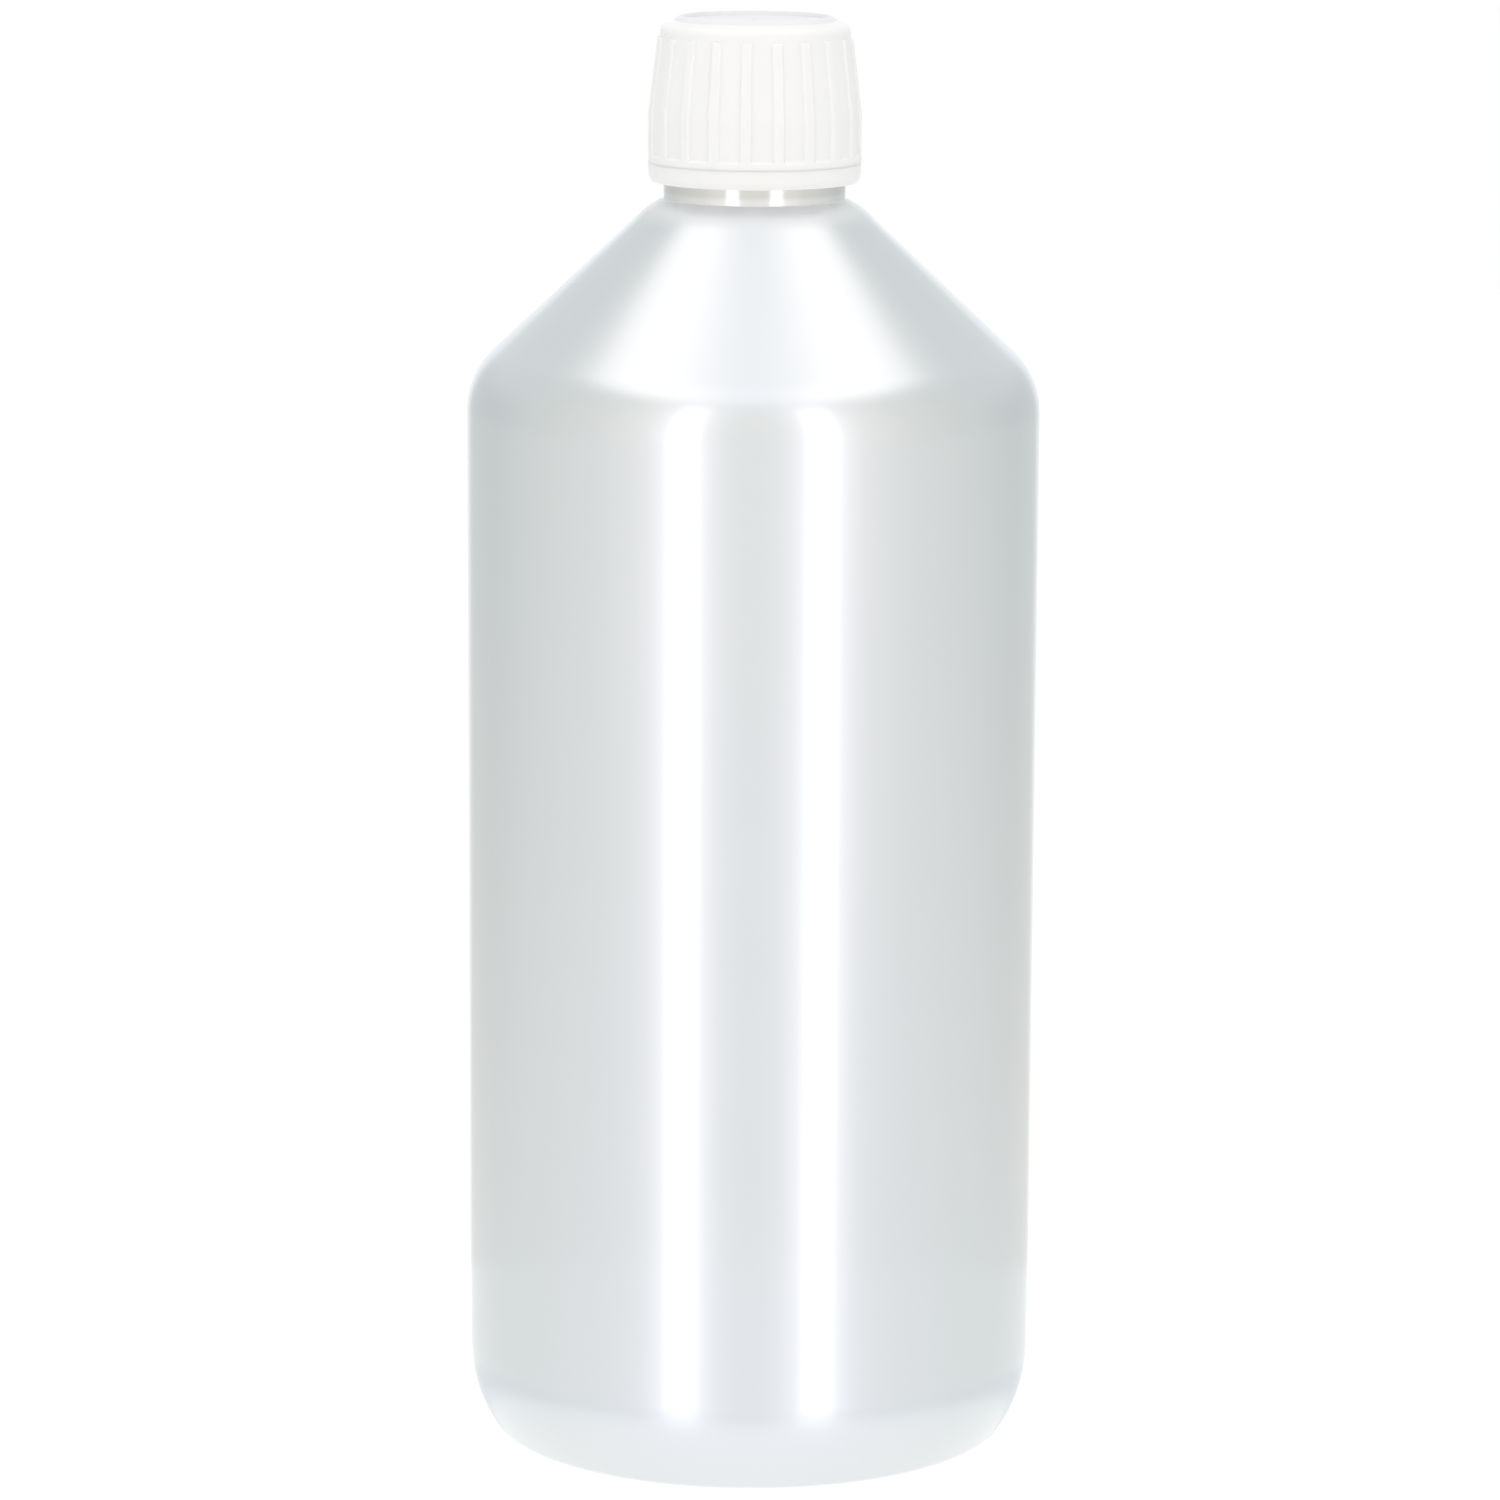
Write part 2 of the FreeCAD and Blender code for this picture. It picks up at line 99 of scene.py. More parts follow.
def draw_section(mesh, corners, closed=False):
    """Draw a chain of edges through corners of (radius, height, rounding) in millimetres."""
    points = [Vector((radius, 0, height)) * MM for radius, height, _ in corners]
    first = pen = mesh.verts.new(points[0])
    last_point = len(points) - 1

    def straight_to(target):
        nonlocal pen
        start = pen.co.copy()
        run = target - start
        stops = [1.0]
        if run.length > 5 * GUARD:
            stops = [GUARD / run.length, 1 - GUARD / run.length, 1.0]
        if run.length > GUARD / 100:
            for share in stops:
                pen = bmesh.ops.extrude_vert_indiv(mesh, verts=[pen])["verts"][0]
                pen.co = start + run * share

    for index in range(1, len(points)):
        corner, rounding = points[index], corners[index][2] * MM
        if not rounding or (index == last_point and not closed):
            straight_to(corner)
            continue
        back = (points[index - 1] - corner).normalized()
        ahead = (points[(index + 1) % len(points)] - corner).normalized()
        half_angle = back.angle(ahead) / 2
        reach = rounding / math.tan(half_angle)
        centre = corner + (back + ahead).normalized() * (rounding / math.sin(half_angle))
        start, end = corner + back * reach, corner + ahead * reach
        straight_to(start)
        turn = math.pi - 2 * half_angle
        step = SMALL_STEP if rounding < SMALL_ROUND else WIDE_STEP
        bend = bmesh.ops.spin(
            mesh, geom=[pen], cent=centre, axis=(start - centre).cross(end - centre),
            angle=turn, steps=max(3, round(turn / step)),
        )
        pen = only_vertices(bend["geom_last"])[0]
    if closed:
        straight_to(points[0] + (pen.co - points[0]).normalized() * GUARD)
        bmesh.ops.contextual_create(mesh, geom=[pen, first])


def finish_piece(mesh, name, body, node, sharp_angle=38):
    """Close the mesh, turn its faces outwards and hand it over in place of its node."""
    bmesh.ops.remove_doubles(mesh, verts=mesh.verts, dist=2e-6)
    bmesh.ops.recalc_face_normals(mesh, faces=mesh.faces)
    data = bpy.data.meshes.new(name)
    mesh.to_mesh(data)
    mesh.free()
    data.shade_smooth()
    data.set_sharp_from_angle(angle=math.radians(sharp_angle))
    piece = bpy.data.objects.new(name, data)
    bpy.context.scene.collection.objects.link(piece)
    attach(piece, body)
    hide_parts(node)
    triangles = sum(len(face.vertices) - 2 for face in data.polygons)
    low = min(vertex.co.z for vertex in data.vertices)
    high = max(vertex.co.z for vertex in data.vertices)
    print(f"{name}: {triangles} triangles, z {low * 1000:.2f} to {high * 1000:.2f} mm")
    return piece


# %% [markdown]
# ## The bottle
# The real shell is drawn from one slug of aluminium, so it has no seam: a recessed base, a
# straight wall, a cone and a narrow neck. One closed section runs up the outside, over the rolled
# lip and down the inside, and a full spin makes the shell with its true wall. The sizes are those
# of the solid, with the small roundings that a drawn and trimmed bottle has. Only the foot of the
# neck differs: the photograph shows the cone flare up to a lower and sharper corner there.

# %% The bottle's section
BODY_RADIUS = 44.0
WALL = 0.75
SHOULDER_HEIGHT = 165.7
CONE_ANGLE = math.radians(46.9)
NECK_RADIUS = 14.0
HEEL_HEIGHT = 6.9
HEEL_ANGLE = math.radians(31.7)
BASE_WALL = 1.2
PANEL_RISE = 2.4
NECK_FOOT = SHOULDER_HEIGHT + (BODY_RADIUS - NECK_RADIUS) / math.tan(CONE_ANGLE)
FOOT_CORNER = BODY_RADIUS - HEEL_HEIGHT * math.tan(HEEL_ANGLE)
FOOT_INNER = FOOT_CORNER - 3.2
PANEL_EDGE = FOOT_INNER - 2.0
HEEL_ROUND = 22.99
SHOULDER_ROUND = 12.7
NECK_DROP = 0.87
FLARE_WIDTH = 2.46
FLARE_ROUND = 6.0
NECK_CORNER = NECK_FOOT - NECK_DROP
FLARE_RADIUS = NECK_RADIUS + FLARE_WIDTH
FLARE_HEIGHT = NECK_FOOT - FLARE_WIDTH / math.tan(CONE_ANGLE)
INNER_NECK_DROP = 0.43
INNER_FLARE_SHIFT = 0.45
INNER_FLARE_DROP = 0.6
BEAD_RADIUS = 14.85
BEAD_FOOT = NECK_FOOT + 3.05
BEAD_TOP = BEAD_FOOT + 1.25
THREAD_FLOOR = BEAD_TOP + 1.7
THREAD_ROOT = 12.9
RELIEF_RADIUS = 12.3
LIP_RADIUS = 12.95
LIP_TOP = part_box("bottle")[1].z / MM
LIP_FOOT = LIP_TOP - 2.3
BORE_RADIUS = 11.2
CONE_DROP = WALL * math.tan(CONE_ANGLE / 2)
HEEL_LIFT = WALL * math.tan(HEEL_ANGLE / 2)
HEEL_INNER = FOOT_CORNER + BASE_WALL * math.tan(HEEL_ANGLE) - WALL / math.cos(HEEL_ANGLE)

shell_section = [
    (0, PANEL_RISE, 0),
    (PANEL_EDGE, PANEL_RISE, 1.2),
    (FOOT_INNER, 0, 0.7),
    (FOOT_CORNER, 0, 2.3),
    (BODY_RADIUS, HEEL_HEIGHT, HEEL_ROUND),
    (BODY_RADIUS, SHOULDER_HEIGHT, SHOULDER_ROUND),
    (FLARE_RADIUS, FLARE_HEIGHT, FLARE_ROUND),
    (NECK_RADIUS, NECK_CORNER, 0.35),
    (NECK_RADIUS, BEAD_FOOT, 0.15),
    (BEAD_RADIUS, BEAD_FOOT, 0.3),
    (BEAD_RADIUS, BEAD_TOP, 0.4),
    (THREAD_ROOT, THREAD_FLOOR, 0.5),
    (THREAD_ROOT, LIP_FOOT - 3.0, 0.3),
    (RELIEF_RADIUS, LIP_FOOT - 2.4, 0.4),
    (RELIEF_RADIUS, LIP_FOOT - 0.65, 0.4),
    (LIP_RADIUS, LIP_FOOT, 0.3),
    (LIP_RADIUS, LIP_TOP, 0.8),
    (BORE_RADIUS, LIP_TOP, 0.8),
    (BORE_RADIUS, BEAD_FOOT - WALL + 2.6, 1.0),
    (NECK_RADIUS - WALL, BEAD_FOOT - WALL, 1.0),
    (NECK_RADIUS - WALL, NECK_CORNER - INNER_NECK_DROP, 1.0),
    (FLARE_RADIUS - INNER_FLARE_SHIFT, FLARE_HEIGHT - INNER_FLARE_DROP, FLARE_ROUND),
    (BODY_RADIUS - WALL, SHOULDER_HEIGHT - CONE_DROP, SHOULDER_ROUND - WALL),
    (BODY_RADIUS - WALL, HEEL_HEIGHT + HEEL_LIFT, HEEL_ROUND - WALL),
    (HEEL_INNER, BASE_WALL, 0.5),
    (FOOT_INNER, BASE_WALL, 0.5),
    (PANEL_EDGE, PANEL_RISE + BASE_WALL, 0.5),
    (0, PANEL_RISE + BASE_WALL, 0),
]

# %% Spin the shell
SHELL_STEPS = 240

bottle_mesh = bmesh.new()
draw_section(bottle_mesh, shell_section)
bmesh.ops.spin(
    bottle_mesh, geom=bottle_mesh.verts[:] + bottle_mesh.edges[:], cent=(0, 0, 0), axis=AXIS,
    angle=2 * math.pi, steps=SHELL_STEPS, use_merge=True,
)

# %% [markdown]
# ## The threads
# The neck's thread is rolled into the metal and the cap's is moulded inside it. Both are the same
# ridge wound 1.75 turns, one with its crest outwards and one with its crest inwards. A spin with
# an upward step after each turn winds the ridge, and near both ends it sinks back into its wall,
# as a cut thread runs out.

# %% Wind a thread
PITCH = 3.18
THREAD_TURNS = 1.75
RIDGE_FOOT = 1.6
RIDGE_CREST = 0.8
STEPS_A_TURN = 72
RUN_OUT = 7


def wind_thread(piece_mesh, wall, crest, root, height):
    """Wind a closed ridge from +X round the axis, with its root sunk into the wall."""
    mesh = bmesh.new()
    corners = [
        (root, height - RIDGE_FOOT / 2),
        (wall, height - RIDGE_FOOT / 2),
        (crest, height - RIDGE_CREST / 2),
        (crest, height + RIDGE_CREST / 2),
        (wall, height + RIDGE_FOOT / 2),
        (root, height + RIDGE_FOOT / 2),
    ]
    sections = [[mesh.verts.new(Vector((radius, 0, level)) * MM) for radius, level in corners]]
    outline = bmesh.ops.contextual_create(mesh, geom=sections[0])["faces"]
    last = sections[0] + list(outline[0].edges) + outline
    steps = round(STEPS_A_TURN * THREAD_TURNS)
    for _ in range(steps):
        wound = bmesh.ops.spin(
            mesh, geom=last, cent=(0, 0, 0), axis=AXIS, angle=math.tau / STEPS_A_TURN,
            steps=1, dvec=AXIS * (PITCH * MM / STEPS_A_TURN),
        )
        last = wound["geom_last"]
        sections.append(only_vertices(last))
    for number, section in enumerate(sections):
        share = min(1.0, number / RUN_OUT, (steps - number) / RUN_OUT)
        for vertex in section:
            radius = vertex.co.xy.length
            beyond = radius - wall * MM
            if beyond * (crest - wall) > 0:
                kept = wall * MM + beyond * share + (root - wall) * MM * 0.2 * (1 - share)
                vertex.co.xy *= kept / radius
    bmesh.ops.recalc_face_normals(mesh, faces=mesh.faces)
    ridge = bpy.data.meshes.new("ridge")
    mesh.to_mesh(ridge)
    mesh.free()
    piece_mesh.from_mesh(ridge)
    bpy.data.meshes.remove(ridge)


wind_thread(bottle_mesh, THREAD_ROOT, THREAD_ROOT + 0.8, THREAD_ROOT - 0.3, THREAD_FLOOR + 2.4)
bottle = finish_piece(bottle_mesh, "bottle_shell", "bottle", "bottle")

# %% [markdown]
# ## The cap
# The real cap is one moulding with 20 ribs for the fingers, a raised rim round a dished top and a
# plain hem below. A whole ring of ribs would be slow to draw, so one sector with one rib is made:
# the section is spun through 18 degrees in uneven steps that crowd at the rib's flanks, rows are
# cut where the rib starts and ends, and the rib is raised by moving vertices outwards. The sector
# is then repeated round the axis. After the photograph the rim is thinner, the dish wider and the
# ribs lower than in the solid.

# %% The cap's section, in heights above its lower edge
CAP_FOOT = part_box("cap")[0].z / MM
HEM_RADIUS = 16.28
GRIP_RADIUS = 15.92
GRIP_TOP_RADIUS = 14.5
GRIP_BEND = 7.5
GRIP_TOP = 19.2
HEM_HEIGHT = 1.0
SILL_HEIGHT = 0.5
COLLAR_RADIUS = 14.44
LEDGE_HEIGHT = 20.65
RIM_RADIUS = 12.4
RIM_FOOT = 21.45
RIM_CORNER = 11.6
RIM_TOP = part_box("cap")[1].z / MM - CAP_FOOT
RIM_INNER = 11.1
DISH = RIM_TOP - 0.66
CEILING = 19.92
SEAT_FOOT = 14.62
DISC_BORE = 13.3
CAP_BORE = 13.95
RING_BORE = 15.1
GATE_RADIUS = 0.5

cap_section = [
    (0, DISH + 0.1, 0),
    (GATE_RADIUS - 0.05, DISH + 0.1, 0.04),
    (GATE_RADIUS, DISH, 0.04),
    (RIM_INNER - 0.2, DISH, 0.15),
    (RIM_INNER, RIM_TOP, 0.12),
    (RIM_CORNER, RIM_TOP, 0.9),
    (RIM_RADIUS, RIM_FOOT, 0.25),
    (COLLAR_RADIUS, LEDGE_HEIGHT, 1.2),
    (GRIP_TOP_RADIUS, GRIP_TOP, 0.1),
    (GRIP_RADIUS, GRIP_BEND, 12.0),
    (GRIP_RADIUS, HEM_HEIGHT + SILL_HEIGHT, 0.2),
    (HEM_RADIUS, HEM_HEIGHT, 0.15),
    (HEM_RADIUS, 0, 0),
    (RING_BORE, 0, 0.1),
    (CAP_BORE, 1.6, 0.3),
    (CAP_BORE, SEAT_FOOT - (CAP_BORE - DISC_BORE), 0.2),
    (DISC_BORE, SEAT_FOOT, 0.2),
    (DISC_BORE, CEILING, 0.4),
    (0, CEILING, 0),
]

# %% Spin one sector and raise its rib
RIB_COUNT = 20
RIB_PHASE = 13.0
RIB_DEPTH = 0.36
RIB_FOOT = 0.6
RIB_START = 0.88
RIB_FULL = 2.0
RIB_TOP = GRIP_TOP - 0.3
RIB_CREST = 2.2
RIB_HALF = 3.6
HALF_SECTOR = 180 / RIB_COUNT
RIB_COLUMNS = (0, 1.0, 1.9, 2.15, 2.32, 2.5, 2.7, 2.9, 3.1, 3.3, 3.48, 3.65, 4.2, 5.6, 7.3, 9.0)
RIB_ROWS = (
    0.62, 0.75, 0.9, 1.08, 1.2, 1.35, 1.6, 1.8, 1.95, 2.05, 2.3,
    18.5, 18.72, 18.8, 18.86, 18.9, 18.93, 18.96, 18.99, 19.02, 19.06,
)


def soft_step(share):
    """Rises smoothly from 0 to 1."""
    share = min(1.0, max(0.0, share))
    return share * share * (3 - 2 * share)


def between(value, start, end, at_start, at_end):
    """A straight line from at_start to at_end, held beyond both its ends."""
    share = min(1.0, max(0.0, (value - start) / (end - start)))
    return at_start + (at_end - at_start) * share


def lies_outside(point):
    """Whether a point belongs to the cap's outer wall, not to its bore."""
    bound = between(point.z / MM, 0, GRIP_TOP, RING_BORE + 0.4, DISC_BORE + 0.9)
    return point.xy.length / MM > bound


def rib_radius(height):
    """How far out the rib's crest lies at a height above the cap's lower edge."""
    if height < GRIP_BEND:
        return between(height, RIB_START, RIB_FULL, HEM_RADIUS, GRIP_RADIUS + RIB_DEPTH)
    tapered = between(height, GRIP_BEND, GRIP_TOP, GRIP_RADIUS, GRIP_TOP_RADIUS)
    return tapered + RIB_DEPTH


cap_mesh = bmesh.new()
draw_section(cap_mesh, cap_section)
columns = sorted({-angle for angle in RIB_COLUMNS} | set(RIB_COLUMNS))
bmesh.ops.rotate(
    cap_mesh, verts=cap_mesh.verts, cent=(0, 0, 0),
    matrix=Matrix.Rotation(math.radians(columns[0]), 3, "Z"),
)
last = cap_mesh.verts[:] + cap_mesh.edges[:]
for before, after in zip(columns, columns[1:]):
    spun = bmesh.ops.spin(
        cap_mesh, geom=last, cent=(0, 0, 0), axis=AXIS,
        angle=math.radians(after - before), steps=1,
    )
    last = spun["geom_last"]
for row in RIB_ROWS:
    outside = [face for face in cap_mesh.faces if lies_outside(face.calc_center_median())]
    parts = {*outside}
    for face in outside:
        parts.update(face.verts)
        parts.update(face.edges)
    bmesh.ops.bisect_plane(cap_mesh, geom=list(parts), plane_co=(0, 0, row * MM), plane_no=AXIS)

for vertex in cap_mesh.verts:
    radius, height = vertex.co.xy.length / MM, vertex.co.z / MM
    angle = abs(math.degrees(math.atan2(vertex.co.y, vertex.co.x)))
    if lies_outside(vertex.co) and RIB_FOOT < height < GRIP_TOP:
        side = soft_step((RIB_HALF - angle) / (RIB_HALF - RIB_CREST))
        end = soft_step((RIB_TOP + 0.09 - height) / 0.12)
        raised = max(0.0, rib_radius(height) - radius) * side * end
        vertex.co.xy *= (radius + raised) / radius

# %% Repeat the sector and add the thread inside
bmesh.ops.spin(
    cap_mesh, geom=cap_mesh.verts[:] + cap_mesh.edges[:] + cap_mesh.faces[:], cent=(0, 0, 0),
    axis=AXIS, angle=math.tau * (RIB_COUNT - 1) / RIB_COUNT, steps=RIB_COUNT - 1,
    use_duplicate=True,
)
bmesh.ops.rotate(
    cap_mesh, verts=cap_mesh.verts, cent=(0, 0, 0),
    matrix=Matrix.Rotation(math.radians(RIB_PHASE), 3, "Z"),
)
wind_thread(cap_mesh, CAP_BORE, THREAD_ROOT + 0.25, CAP_BORE + 0.3, 2.37)
bmesh.ops.translate(cap_mesh, verts=cap_mesh.verts, vec=AXIS * (CAP_FOOT * MM))
cap = finish_piece(cap_mesh, "cap_moulding", "cap", "cap")

# %% [markdown]
# ## The tamper ring
# The ring is moulded with the cap and hangs under the bottle's bead by 12 inner lugs. Thin bridges
# on its upper edge break at the first opening. It repeats every 30 degrees, so again one sector is
# made: its inner wall is pulled in to form a lug, and a small patch of its top face is extruded
# into a bridge. The slit above it can hardly be seen in the photograph, so it's much finer here
# than in the solid.

# %% The ring's section and its sector
RING_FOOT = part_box("tamper_band")[0].z / MM
RING_HEIGHT = 2.926
SLIT = 0.004
LUG_COUNT = 12
LUG_TOP = 1.1
LUG_FACE = 0.55
LUG_ROOT = 0.28
LUG_TIP = NECK_RADIUS + 0.25
LUG_HALF = 8.0
BRIDGE_HALF = 1.25
BRIDGE_INNER = RING_BORE + 0.34
BRIDGE_OUTER = RING_BORE + 0.84
RING_COLUMNS = (0, BRIDGE_HALF, 3.0, 5.0, 6.8, 7.6, 7.85, LUG_HALF, 8.3, 10.0, 12.5, 15.0)

ring_section = [
    (RING_BORE, 2.0, 0),
    (RING_BORE, LUG_TOP + 0.02, 0),
    (RING_BORE, LUG_TOP, 0),
    (RING_BORE, LUG_TOP - LUG_FACE / 2, 0),
    (RING_BORE, LUG_TOP - LUG_FACE, 0),
    (RING_BORE, LUG_ROOT, 0),
    (RING_BORE, 0, 0.08),
    (RING_BORE + 0.65, 0, 0.2),
    (RING_BORE + 1.02, 0.9, 1.2),
    (HEM_RADIUS, RING_HEIGHT, 0),
    (BRIDGE_OUTER, RING_HEIGHT, 0),
    (BRIDGE_INNER, RING_HEIGHT, 0),
    (RING_BORE, RING_HEIGHT, 0.08),
]

ring_mesh = bmesh.new()
draw_section(ring_mesh, ring_section, closed=True)
columns = sorted({-angle for angle in RING_COLUMNS} | set(RING_COLUMNS))
bmesh.ops.rotate(
    ring_mesh, verts=ring_mesh.verts, cent=(0, 0, 0),
    matrix=Matrix.Rotation(math.radians(columns[0]), 3, "Z"),
)
last = ring_mesh.verts[:] + ring_mesh.edges[:]
for before, after in zip(columns, columns[1:]):
    spun = bmesh.ops.spin(
        ring_mesh, geom=last, cent=(0, 0, 0), axis=AXIS,
        angle=math.radians(after - before), steps=1,
    )
    last = spun["geom_last"]

# %% Pull in the lug and raise the bridge
for vertex in ring_mesh.verts:
    radius, height = vertex.co.xy.length / MM, vertex.co.z / MM
    angle = abs(math.degrees(math.atan2(vertex.co.y, vertex.co.x)))
    if radius < RING_BORE + 0.001 and angle < LUG_HALF + 0.01 and height < LUG_TOP + 0.01:
        depth = between(height, LUG_ROOT, LUG_TOP - LUG_FACE, 0, RING_BORE - LUG_TIP)
        side = soft_step((LUG_HALF - angle) / 0.4)
        vertex.co.xy *= (radius - depth * side) / radius

patch = []
for face in ring_mesh.faces:
    middle = face.calc_center_median()
    radius, height = middle.xy.length / MM, middle.z / MM
    angle = abs(math.degrees(math.atan2(middle.y, middle.x)))
    on_top = height > RING_HEIGHT - 0.001
    if on_top and BRIDGE_INNER < radius < BRIDGE_OUTER and angle < BRIDGE_HALF:
        patch.append(face)
raised = bmesh.ops.extrude_face_region(ring_mesh, geom=patch)["geom"]
bmesh.ops.delete(ring_mesh, geom=patch, context="FACES_ONLY")
bmesh.ops.translate(ring_mesh, verts=only_vertices(raised), vec=AXIS * (SLIT * MM))
bmesh.ops.spin(
    ring_mesh, geom=ring_mesh.verts[:] + ring_mesh.edges[:] + ring_mesh.faces[:],
    cent=(0, 0, 0), axis=AXIS, angle=math.tau * (LUG_COUNT - 1) / LUG_COUNT, steps=LUG_COUNT - 1,
    use_duplicate=True,
)
bmesh.ops.translate(ring_mesh, verts=ring_mesh.verts, vec=AXIS * (RING_FOOT * MM))
ring = finish_piece(ring_mesh, "ring_moulding", "bottle", "tamper_band")

# %% [markdown]
# ## Writing shader maths
# A finish is a sum of small patterns, and sums read best as sums. A Wire is one output of a node.
# Adding, multiplying or comparing wires adds the Math nodes that work it out, and every other node
# comes from the one method that takes its kind, its settings and the values of its sockets.

# %% The wire class
class Wire:
    """One output socket of a material's nodes."""

    def __init__(self, socket):
        self.socket = socket

    def node(self, kind, settings=None, inputs=None, output=0):
        """Add a node to the same tree and give one of its outputs."""
        return new_node(self.socket.id_data, kind, settings, inputs, output)

    def maths(self, operation, *values):
        return self.node("ShaderNodeMath", {"operation": operation}, dict(enumerate(values)))

    def __add__(self, other):
        return self.maths("ADD", self, other)

    def __sub__(self, other):
        return self.maths("SUBTRACT", self, other)

    def __rsub__(self, other):
        return self.maths("SUBTRACT", other, self)

    def __mul__(self, other):
        return self.maths("MULTIPLY", self, other)

    def __pow__(self, other):
        return self.maths("POWER", self, other)

    __radd__ = __add__
    __rmul__ = __mul__

    def size(self):
        return self.maths("ABSOLUTE", self)

    def most(self, other):
        return self.maths("MAXIMUM", self, other)

    def rise(self, start, end):
        """A smooth mask that is 0 at start and 1 at end."""
        inputs = {"Value": self, "From Min": start, "From Max": end}
        settings = {"interpolation_type": "SMOOTHSTEP"}
        return self.node("ShaderNodeMapRange", settings, inputs)

    def blend(self, colour_at_0, colour_at_1):
        """Mix two colours by this mask."""
        inputs = {0: self, 6: colour_at_0, 7: colour_at_1}
        return self.node("ShaderNodeMix", {"data_type": "RGBA"}, inputs, output=2)


def new_node(tree, kind, settings=None, inputs=None, output=0):
    """Add a node, apply its settings, then fill its sockets with values or wires."""
    node = tree.nodes.new(kind)
    for name, value in (settings or {}).items():
        setattr(node, name, value)
    for key, value in (inputs or {}).items():
        socket = node.inputs[key]
        if isinstance(value, Wire):
            tree.links.new(value.socket, socket)
        else:
            socket.default_value = value
    return Wire(node.outputs[output]) if node.outputs else None


def new_material(name, **uniform):
    """A material with one Principled shader, its uniform values, and its object coordinates."""
    material = bpy.data.materials.new(name)
    material.use_nodes = True
    tree = material.node_tree
    shader = tree.nodes["Principled BSDF"]
    for socket, value in uniform.items():
        shader.inputs[socket.replace("_", " ")].default_value = value
    place = new_node(tree, "ShaderNodeTexCoord", output="Object")
    return material, shader, place


def feed(shader, **wires):
    """Link varying values to the shader's sockets."""
    for name, wire in wires.items():
        shader.id_data.links.new(wire.socket, shader.inputs[name.replace("_", " ")])


# %% [markdown]
# ## Satin aluminium
# The body is etched and has a clear lacquer: bright, pale and soft, so that lights show in it as
# wide bands. The skin gets matt towards its upper edge, and the uncoated neck above is smoother
# and a little warmer. Both are read from tones in the photograph, which doesn't show their cause.
# The neck's foot is painted lighter, as a painted reflection, and the neck is darker higher up.

# %% The shell's material, with its heights in metres
EDGE_START, SKIN_END = 0.1893, 0.1922
NECK_START, NECK_FULL = 0.1929, 0.19297
PAINTED_BAND_TOP, UPPER_TONE_FULL = 0.1934, 0.1944

shell_material, shell_shader, place = new_material(
    "satin_aluminium", Coat_Weight=0.8, Coat_Roughness=0.03, Coat_IOR=1.7,
)
up = place.node("ShaderNodeSeparateXYZ", inputs={0: place}, output="Z")
fine = place.node("ShaderNodeTexNoise", inputs={"Vector": place, "Scale": 2600.0, "Detail": 2.0})
broad = place.node("ShaderNodeTexNoise", inputs={"Vector": place, "Scale": 45.0, "Detail": 3.0})
neck = up.rise(NECK_START, NECK_FULL)
edge = up.rise(EDGE_START, SKIN_END) * (1 - neck)
skin = broad.blend((0.718, 0.731, 0.736, 1), (0.731, 0.741, 0.741, 1))
# The neck's foot is painted lighter, a painted reflection; higher up the neck fades to a darker,
# warmer tone.
upper_neck_tone = broad.blend((0.67, 0.65, 0.62, 1), (0.69, 0.67, 0.64, 1))
neck_tone_with_painted_band = up.rise(PAINTED_BAND_TOP, UPPER_TONE_FULL).blend((0.78, 0.765, 0.74, 1), upper_neck_tone)
grain = place.node("ShaderNodeBump", inputs={"Height": fine, "Strength": 0.12, "Distance": 0.00002})
feed(
    shell_shader,
    Base_Color=neck.blend(skin, neck_tone_with_painted_band),
    Metallic=1 - 0.75 * edge,
    Roughness=0.28 + 0.02 * broad - 0.12 * neck + 0.35 * edge,
    Normal=grain,
)
bottle.data.materials.append(shell_material)

# %% [markdown]
# Without this, the ring's underside renders darker than in the photograph, and the cone mirrors it
# as a dark band. Hiding the shell from diffuse rays lightens it, as light thrown up by real metal
# might. It isn't how light works, and the floor's shadow should get fainter by it too.

# %% Hide the shell from diffuse rays
bottle.visible_diffuse = False

# %% [markdown]
# ## White moulded plastic
# Cap and ring are white polypropylene: not quite neutral, a little waxy, with a soft gloss and the
# faint unevenness of a polished mould. The top, rim and dish, is duller, and it is painted a
# darker, cooler grey as shade.

# %% The closure's material
RIM_LEVEL = (CAP_FOOT + RIM_FOOT) * MM
closure_material, closure_shader, place = new_material(
    "white_moulding", IOR=1.5, Specular_IOR_Level=0.3, Subsurface_Weight=0.5,
    Subsurface_Radius=(1.0, 1.0, 1.0), Subsurface_Scale=0.0006,
)
fine = place.node("ShaderNodeTexNoise", inputs={"Vector": place, "Scale": 1800.0, "Detail": 3.0})
broad = place.node("ShaderNodeTexNoise", inputs={"Vector": place, "Scale": 120.0, "Detail": 2.0})
up = place.node("ShaderNodeSeparateXYZ", inputs={0: place}, output="Z")
# The top above the rim's foot is duller, and its colour is painted darker and cooler as shade.
top_shade_and_dullness = up.rise(RIM_LEVEL + 0.00001, RIM_LEVEL + 0.00004)
skin = broad.blend((0.87, 0.86, 0.838, 1), (0.88, 0.87, 0.848, 1))
grain = place.node("ShaderNodeBump", inputs={"Height": fine, "Strength": 0.1, "Distance": 0.00002})
feed(
    closure_shader,
    Base_Color=top_shade_and_dullness.blend(skin, (0.80, 0.79, 0.80, 1)),
    Roughness=0.3 + 0.05 * broad + 0.15 * top_shade_and_dullness,
    Normal=grain,
)
for piece in (cap, ring):
    piece.data.materials.append(closure_material)

# %% [markdown]
# ## Liner foam
# The sealing disc is cut from white foamed sheet. It lies inside the cap, so it keeps its packed
# shape and only gets its closed-cell surface.

